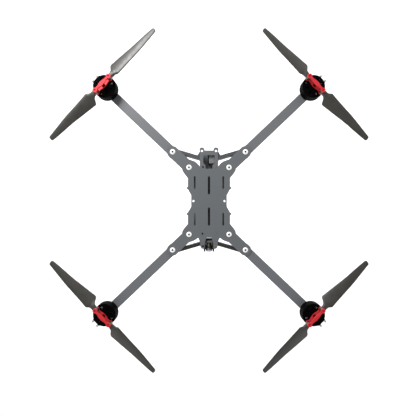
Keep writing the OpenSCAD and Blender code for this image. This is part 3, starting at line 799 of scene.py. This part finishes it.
@dataclass(frozen=True)
class Motors:
    """Four outrunner motors: a wound stator on each arm under a bell full of magnets."""

    teeth: int = 12
    turns: int = 8
    wire: float = 0.6 * MM
    coil_width: float = 5.2 * MM
    coil_height: float = 15.2 * MM
    coil_start: float = 13.5 * MM
    stack_middle: float = 15.0 * MM

    def build(self) -> None:
        """Builds bases, stators, windings, bells, magnets and shafts."""
        rotors = [rotor_place(corner) for corner in CORNERS]
        Part("motor_bases", BLACK_ANODISED, Wrap.TURNED, 0.25).build(rotors)
        Part("motor_stators", LAMINATION, Wrap.TURNED, 0.15, "grey_steel").build(rotors)
        Part("motor_bearings", BRIGHT_STEEL, Wrap.TURNED, 0.2).build(rotors)
        Part("motor_screws", GREY_STEEL, edge_mm=0.15).build(rotors)
        self.wind()
        for corner, place in zip(CORNERS, rotors):
            Part(f"motor_bell_{corner}", BLACK_ANODISED, Wrap.TURNED, 0.4).build([place])
            Part(f"motor_magnets_{corner}", NICKEL, Wrap.TURNED, 0.25).build([place])
            Part(f"motor_shaft_{corner}", BLACK_OXIDE, Wrap.TURNED, 0.3).build([place])

    def wind(self) -> bpy.types.Object:
        """Winds a coil of rounded turns round every stator tooth.

        Returns:
            All the windings as one piece.
        """
        places = [rotor_place(corner) @ Matrix.Rotation(math.tau * k / self.teeth, 4, "Z")
                  @ Matrix.Translation((self.coil_start, 0, self.stack_middle))
                  for corner in CORNERS for k in range(self.teeth)]
        base = bpy.data.meshes.new("tooth_places")
        base.from_pydata([place.translation for place in places], [], [])
        heading = base.attributes.new("heading", "FLOAT_VECTOR", "POINT")
        for item, place in zip(heading.data, places):
            item.vector = place.to_euler()
        recipe = Recipe("stator windings")
        tree = recipe.tree
        wire = recipe.value("Wire radius", self.wire)
        loop = add(tree, "GeometryNodeCurvePrimitiveQuadrilateral", {
            "Width": recipe.value("Coil width", self.coil_width),
            "Height": recipe.value("Coil height", self.coil_height)})
        rounded = add(tree, "GeometryNodeFilletCurve", {
            "Curve": loop.outputs[0], "Radius": recipe.value("Corner radius", 1.2 * MM)})
        for name, value in (("Mode", "Poly"), ("Count", 3)):
            if name in rounded.inputs:
                rounded.inputs[name].default_value = value
            elif name == "Mode":
                rounded.mode = "POLY"
        section = add(tree, "GeometryNodeCurvePrimitiveCircle", {"Resolution": 6, "Radius": wire})
        turn = add(tree, "GeometryNodeCurveToMesh", {0: rounded.outputs[0], 1: section.outputs[0]})
        upright = add(tree, "GeometryNodeTransform", {
            "Geometry": turn.outputs[0],
            "Rotation": (math.radians(90), 0.0, math.radians(90))})
        pitch = add(tree, "ShaderNodeCombineXYZ", {0: math_node(tree, "MULTIPLY", wire, 2.05)})
        row = add(tree, "GeometryNodeMeshLine", {
            "Count": recipe.value("Turns", self.turns, "NodeSocketInt"), "Offset": pitch.outputs[0]})
        coil = add(tree, "GeometryNodeInstanceOnPoints", {
            "Points": row.outputs[0], "Instance": upright.outputs[0]})
        headings = add(tree, "GeometryNodeInputNamedAttribute", {"Name": "heading"},
                       data_type="FLOAT_VECTOR")
        turned = add(tree, "FunctionNodeEulerToRotation", {0: headings.outputs[0]})
        coils = add(tree, "GeometryNodeInstanceOnPoints", {
            "Points": recipe.start, "Instance": coil.outputs[0], "Rotation": turned.outputs[0]})
        piece = recipe.make(coils.outputs[0], base, "motor_windings", SHADED_COPPER)
        smooth_shading(piece, 60)
        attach(piece, "frame")
        return dress(piece, SHADED_COPPER, Wrap.FLAT, [Matrix.Identity(4)])


# Blade stations in millimetres: out from the pivot, leading edge, trailing edge, thickness, boxiness
BLADE_STATIONS = (
    (3, -5.2, 5.2, 10.4, 0.45), (9, -6.2, 6.6, 10, 0.5), (14, -6.8, 8.6, 8.8, 0.7),
    (18, -9.2, 13.4, 7, 0.9), (21.5, -12.2, 18.8, 5.6, 1), (26, -12.6, 21.5, 4.8, 1),
    (36, -12.1, 20.5, 4.2, 1), (65, -11.3, 17, 3.2, 1), (100, -10.6, 12.6, 2.4, 1),
    (135, -8.2, 9.8, 1.8, 1), (166, -5.6, 6.6, 1.3, 1), (168, -4.6, 5.6, 1, 1),
)


@dataclass(frozen=True)
class Propeller:
    """One folding propeller: two moulded blades pinned between two red clamp plates."""

    corner: str
    rings: int = 72
    around: int = 36
    boss_radius: float = 6.3
    boss_height: float = 11.4
    bore_radius: float = 2.55
    root_pitch: float = 17.0
    tip_pitch: float = 7.5
    camber: float = 0.02
    tip_round: float = 2.5

    def build(self) -> None:
        """Builds the clamp, its pins and both blades."""
        place = [rotor_place(self.corner)]
        Part(f"clamp_lower_{self.corner}", RED_ANODISED, edge_mm=0.45).build(place)
        Part(f"clamp_upper_{self.corner}", RED_ANODISED, edge_mm=0.45).build(place)
        Part(f"blade_pins_{self.corner}", RED_PIN, edge_mm=0.2).build(place)
        for letter in "ab":
            self.blade(letter)

    def station(self, x: float) -> list[float]:
        """Reads the blade's sizes between its stations, on a smooth curve.

        Args:
            x: Distance from the pivot in millimetres.

        Returns:
            Leading edge, trailing edge, thickness and boxiness.
        """
        table = BLADE_STATIONS
        i = max(0, min(len(table) - 2, sum(row[0] <= x for row in table) - 1))
        span = table[i + 1][0] - table[i][0]
        t = (x - table[i][0]) / span

        def slope(k: int, column: int) -> float:
            """Returns the curve's slope at station k."""
            low, high = table[max(k - 1, 0)], table[min(k + 1, len(table) - 1)]
            return (high[column] - low[column]) / (high[0] - low[0])

        weights = (2 * t ** 3 - 3 * t ** 2 + 1, t ** 3 - 2 * t ** 2 + t,
                   3 * t ** 2 - 2 * t ** 3, t ** 3 - t ** 2)
        return [weights[0] * table[i][c] + weights[1] * span * slope(i, c)
                + weights[2] * table[i + 1][c] + weights[3] * span * slope(i + 1, c)
                for c in (1, 2, 3, 4)]

    def pitch(self, x: float) -> float:
        """Returns the blade's pitch in radians at a distance from the pivot in millimetres."""
        u = min(max((x - 8) / 16, 0), 1)
        length = BLADE_STATIONS[-1][0]
        if x < 24:
            degrees = self.root_pitch * u * u * (3 - 2 * u)
        else:
            degrees = self.root_pitch + (self.tip_pitch - self.root_pitch) * (x - 24) / (length - 24)
        return math.radians(degrees)

    def section(self, x: float) -> list[Vector]:
        """Draws the blade's closed section at one distance.

        Args:
            x: Distance from the pivot in millimetres.

        Returns:
            Points in the blade's frame, in metres, from the leading edge over the top.
        """
        lead, trail, thick, box = self.station(x)
        box = min(max(box, 0.4), 1.0)
        left = max(BLADE_STATIONS[-1][0] - x, 0) / self.tip_round
        if left < 1:
            shrink = 0.35 + 0.65 * math.sqrt(max(1 - (1 - left) ** 2, 0))
            middle = 0.5 * (lead + trail) + 0.35 * (1 - shrink) * (trail - lead)
            lead, trail = middle + (lead - middle) * shrink, middle + (trail - middle) * shrink
            thick *= 0.5 + 0.5 * shrink
        wing = 1 if box > 0.97 else 0
        half, middle, points = (trail - lead) / 2, (trail + lead) / 2, []
        for k in range(self.around):
            a = math.tau * k / self.around
            c, s = math.cos(a), math.sin(a)
            y = middle - half * math.copysign(abs(c) ** box, c)
            z = (math.copysign(abs(s) ** box, s) * (1 + 0.3 * wing * c) * thick / 2
                 + wing * self.camber * 2 * half * s * s)
            points.append(Vector((x, y, z - y * math.tan(self.pitch(x)))) * MM)
        return points

    def blade(self, letter: str) -> bpy.types.Object:
        """Lofts one blade and its pierced root.

        Args:
            letter: Which of the two, a or b.

        Returns:
            The finished blade.
        """
        joint = joint_place(f"fold_{letter}_{self.corner}")
        out = joint - joint_place(f"spin_{self.corner}")
        place = (Matrix.Translation(joint) @ Matrix.Rotation(math.atan2(out.y, out.x), 4, "Z")
                 @ Matrix.Diagonal((1, BLADE_HANDS[self.corner], 1, 1)))
        start, end = BLADE_STATIONS[0][0], BLADE_STATIONS[-1][0]
        shape = bmesh.new()
        rows = []
        for i in range(self.rings):
            share = i / (self.rings - 1)
            share = 0.62 * share ** 1.6 + 0.38 * (1 - (1 - share) ** 3)
            rows.append([shape.verts.new(point) for point in self.section(start + (end - start) * share)])
        self.skin(shape, rows)
        shape.faces.new(rows[0])
        shape.faces.new(rows[-1])
        self.boss(shape)
        bmesh.ops.recalc_face_normals(shape, faces=shape.faces)
        shape.transform(place)
        if BLADE_HANDS[self.corner] < 0:
            bmesh.ops.reverse_faces(shape, faces=shape.faces)
        mesh = bpy.data.meshes.new(f"blade_{letter}")
        shape.to_mesh(mesh)
        shape.free()
        piece = new_piece(f"moulded_blade_{letter}_{self.corner}", mesh)
        smooth_shading(piece, 40)
        node = f"blade_{letter}_{self.corner}"
        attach(piece, NODES[node]["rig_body"])
        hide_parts(node)
        return dress(piece, BLADE, Wrap.FLAT, [place])

    @staticmethod
    def skin(shape: bmesh.types.BMesh, rows: list[list[bmesh.types.BMVert]]) -> None:
        """Joins rows of points into a closed tube of quads."""
        for low, high in zip(rows, rows[1:]):
            for k in range(len(low)):
                shape.faces.new((low[k - 1], low[k], high[k], high[k - 1]))

    def boss(self, shape: bmesh.types.BMesh) -> None:
        """Turns the round root that the pin goes through, with broken edges."""
        r, h, b, chamfer = self.boss_radius, self.boss_height / 2, self.bore_radius, 0.5
        profile = ((b, -h), (r - chamfer, -h), (r, -h + chamfer),
                   (r, h - chamfer), (r - chamfer, h), (b, h))
        rows = []
        for radius, z in (*profile, profile[0]):
            if rows and (radius, z) == profile[0]:
                rows.append(rows[0])
                continue
            rows.append([shape.verts.new(Vector((radius * math.cos(a), radius * math.sin(a), z)) * MM)
                         for a in (math.tau * k / 48 for k in range(48))])
        self.skin(shape, rows)


@dataclass(frozen=True)
class NoseCamera:
    """Tilting video camera between two nylon cheeks."""

    tilt: float = 30.0

    def place(self) -> Matrix:
        """Returns the camera's own frame: -Y is its line of sight."""
        return (Matrix.Translation(joint_place("camera_tilt"))
                @ Matrix.Rotation(math.radians(-self.tilt), 4, "X"))

    def build(self) -> None:
        """Builds housing, lens, glass, cheeks and tilt screws."""
        lens_axis = self.place() @ Matrix.Rotation(math.radians(90), 4, "X")
        Part("camera_brackets", BLACK_NYLON, edge_mm=0.4).build([Matrix.Identity(4)])
        Part("camera_housing", CAMERA_SHELL, edge_mm=0.5).build([self.place()])
        Part("camera_lens", LENS_BARREL, Wrap.TURNED, 0.2).build([lens_axis])
        Part("lens_glass", PAINTED_LENS, Wrap.TURNED, 0.1).build([lens_axis])
        Part("tilt_screws", GREY_STEEL, edge_mm=0.15).build([self.place()])


@dataclass(frozen=True)
class Electronics:
    """Boards, spacers, wires, receiver and video transmitter between the plates."""

    board: float = 36.0 * MM
    board_top: float = 17.6 * MM
    controller: tuple[float, float] = (52.0 * MM, 64.0 * MM)
    controller_top: float = 9.6 * MM
    pitch: float = 3.2 * MM

    def build(self) -> None:
        """Builds the boards with their small parts, the wires and both radios."""
        body = [Matrix.Identity(4)]
        Part("speed_controller", BOARD, edge_mm=0.12).build(body)
        Part("flight_controller", BOARD, edge_mm=0.12).build(body)
        Part("stack_spacers", BLACK_NYLON, edge_mm=0.25).build(body)
        Part("phase_wires", WIRE_SILICONE, edge_mm=0.05).build(body)
        Part("radio_receiver", BLACK_NYLON, edge_mm=0.4).build(body)
        Part("video_transmitter", BARE_ALUMINIUM, edge_mm=0.25).build(body)
        self.chips()

    def chips(self) -> bpy.types.Object:
        """Scatters small surface-mounted parts, each with its two end caps, over both boards.

        Returns:
            All of them as one piece.
        """
        shape = bmesh.new()
        for size, top in ((self.controller, self.controller_top),
                          ((self.board, self.board), self.board_top)):
            corners = [shape.verts.new((x * size[0] / 2, y * size[1] / 2, top))
                       for x, y in ((-0.9, -0.9), (0.9, -0.9), (0.9, 0.9), (-0.9, 0.9))]
            shape.faces.new(corners)
        base = bpy.data.meshes.new("board_faces")
        shape.to_mesh(base)
        shape.free()
        recipe = Recipe("surface-mounted parts")
        tree = recipe.tree
        spots = add(tree, "GeometryNodeDistributePointsOnFaces", {
            "Mesh": recipe.start, "Distance Min": recipe.value("Spacing", self.pitch),
            "Density Max": 250000.0, "Seed": recipe.value("Seed", 7, "NodeSocketInt")},
            distribute_method="POISSON")
        chip = add(tree, "GeometryNodeJoinGeometry")
        for size, x in (((1.2, 0.8, 0.6), 0.0), ((0.35, 0.86, 0.7), -0.75), ((0.35, 0.86, 0.7), 0.75)):
            block = add(tree, "GeometryNodeMeshCube", {"Size": tuple(side * MM for side in size)})
            moved = add(tree, "GeometryNodeTransform", {
                "Geometry": block.outputs[0], "Translation": (x * MM, 0.0, 0.0)})
            tree.links.new(moved.outputs[0], chip.inputs[0])
        turn = add(tree, "FunctionNodeRandomValue", {"Min": 0, "Max": 1, "Seed": 3}, data_type="INT")
        turn_out = next(s for s in turn.outputs if s.enabled)
        for name, value in (("Min", 0), ("Max", 1)):
            next(s for s in turn.inputs if s.name == name and s.enabled).default_value = value
        angle = add(tree, "ShaderNodeCombineXYZ", {
            2: math_node(tree, "MULTIPLY", turn_out, math.radians(90))})
        turned = add(tree, "FunctionNodeEulerToRotation", {0: angle.outputs[0]})
        placed = add(tree, "GeometryNodeInstanceOnPoints", {
            "Points": spots.outputs[0], "Instance": chip.outputs[0], "Rotation": turned.outputs[0]})
        piece = recipe.make(placed.outputs[0], base, "surface_mounted_parts", CHIP_EPOXY)
        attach(piece, "frame")
        return dress(piece, CHIP_EPOXY, Wrap.FLAT, [Matrix.Identity(4)])


@dataclass(frozen=True)
class Studio:
    """Pale floor, soft light and the camera that looks straight down on the drone."""

    softbox_way: tuple[float, float, float] = (-0.40, 0.64, 0.655)
    softbox_far: float = 2.2
    softbox_size: float = 0.9
    softbox_power: float = 55.0
    wash_place: tuple[float, float, float] = (0.35, -0.35, -0.3)
    wash_size: float = 2.4
    wash_power: float = 14.0
    floor_height: float = -0.9
    eye: tuple[float, float, float] = (-0.0026, -0.0189, 0.900)
    target: tuple[float, float, float] = (-0.0026, -0.0189, 0.031)
    lens_mm: float = 28.32

    def build(self) -> None:
        """Builds the floor, the light and the camera."""
        self.floor()
        self.light()
        self.look()

    def floor(self) -> None:
        """Lays the pale floor."""
        shape = bmesh.new()
        bmesh.ops.create_grid(shape, x_segments=2, y_segments=2, size=6.0)
        mesh = bpy.data.meshes.new("floor")
        shape.to_mesh(mesh)
        shape.free()
        floor = new_piece("studio_floor", mesh)
        mesh.transform(Matrix.Translation((0, 0, self.floor_height)))
        mesh.materials.append(material_of(FLOOR))

    def light(self) -> None:
        """Adds the softbox, a low lamp that only washes the floor, and the sky round them."""
        lamp = bpy.data.lights.new("softbox", "AREA")
        lamp.shape = "DISK"
        lamp.size = self.softbox_size
        lamp.energy = self.softbox_power
        box = bpy.data.objects.new("softbox", lamp)
        bpy.context.scene.collection.objects.link(box)
        way = Vector(self.softbox_way).normalized()
        box.matrix_world = (Matrix.Translation(way * self.softbox_far)
                            @ way.to_track_quat("Z", "Y").to_matrix().to_4x4())
        wash = bpy.data.lights.new("floor_wash", "AREA")
        wash.size = self.wash_size
        wash.energy = self.wash_power
        low = bpy.data.objects.new("floor_wash", wash)
        bpy.context.scene.collection.objects.link(low)
        low.matrix_world = Matrix.Translation(self.wash_place)
        low.visible_camera = False
        self.sky()

    @staticmethod
    def sky() -> None:
        """Adds the sky, which is dimmer overhead than at the horizon."""
        world = bpy.data.worlds.new("studio")
        bpy.context.scene.world = world
        world.use_nodes = True
        tree = world.node_tree
        tree.nodes.clear()
        up = add(tree, "ShaderNodeSeparateXYZ", {
            0: add(tree, "ShaderNodeTexCoord").outputs["Generated"]}).outputs[2]
        strength = add(tree, "ShaderNodeMapRange", {
            "Value": up, "From Min": 0.35, "From Max": 0.95, "To Min": 1.15, "To Max": 0.35})
        sky = add(tree, "ShaderNodeBackground", {
            "Color": linear("FFFFFF"), "Strength": strength.outputs[0]})
        add(tree, "ShaderNodeOutputWorld", {"Surface": sky.outputs[0]})
        scene = bpy.context.scene
        scene.view_settings.view_transform = "Standard"
        scene.view_settings.look = "None"

    def look(self) -> None:
        """Sets the camera."""
        data = bpy.data.cameras.new("view")
        data.lens = self.lens_mm
        data.sensor_width = 36.0
        data.clip_end = 30.0
        camera = bpy.data.objects.new("view", data)
        bpy.context.scene.collection.objects.link(camera)
        eye, target = Vector(self.eye), Vector(self.target)
        back = (eye - target).normalized()
        right = Vector((0, 1, 0)).cross(back).normalized()
        up = back.cross(right)
        camera.matrix_world = Matrix.Translation(eye) @ Matrix((right, up, back)).transposed().to_4x4()
        bpy.context.scene.camera = camera


def main() -> None:
    """Builds the drone sub-assembly by sub-assembly, then the studio."""
    logging.basicConfig(level=logging.INFO, format="%(name)s: %(message)s")
    for assembly in (Airframe(), Motors(), *(Propeller(corner) for corner in CORNERS),
                     NoseCamera(), Electronics(), Studio()):
        assembly.build()
        LOG.info("built %s", type(assembly).__name__)
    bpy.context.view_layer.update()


if __name__ == "__main__":
    main()
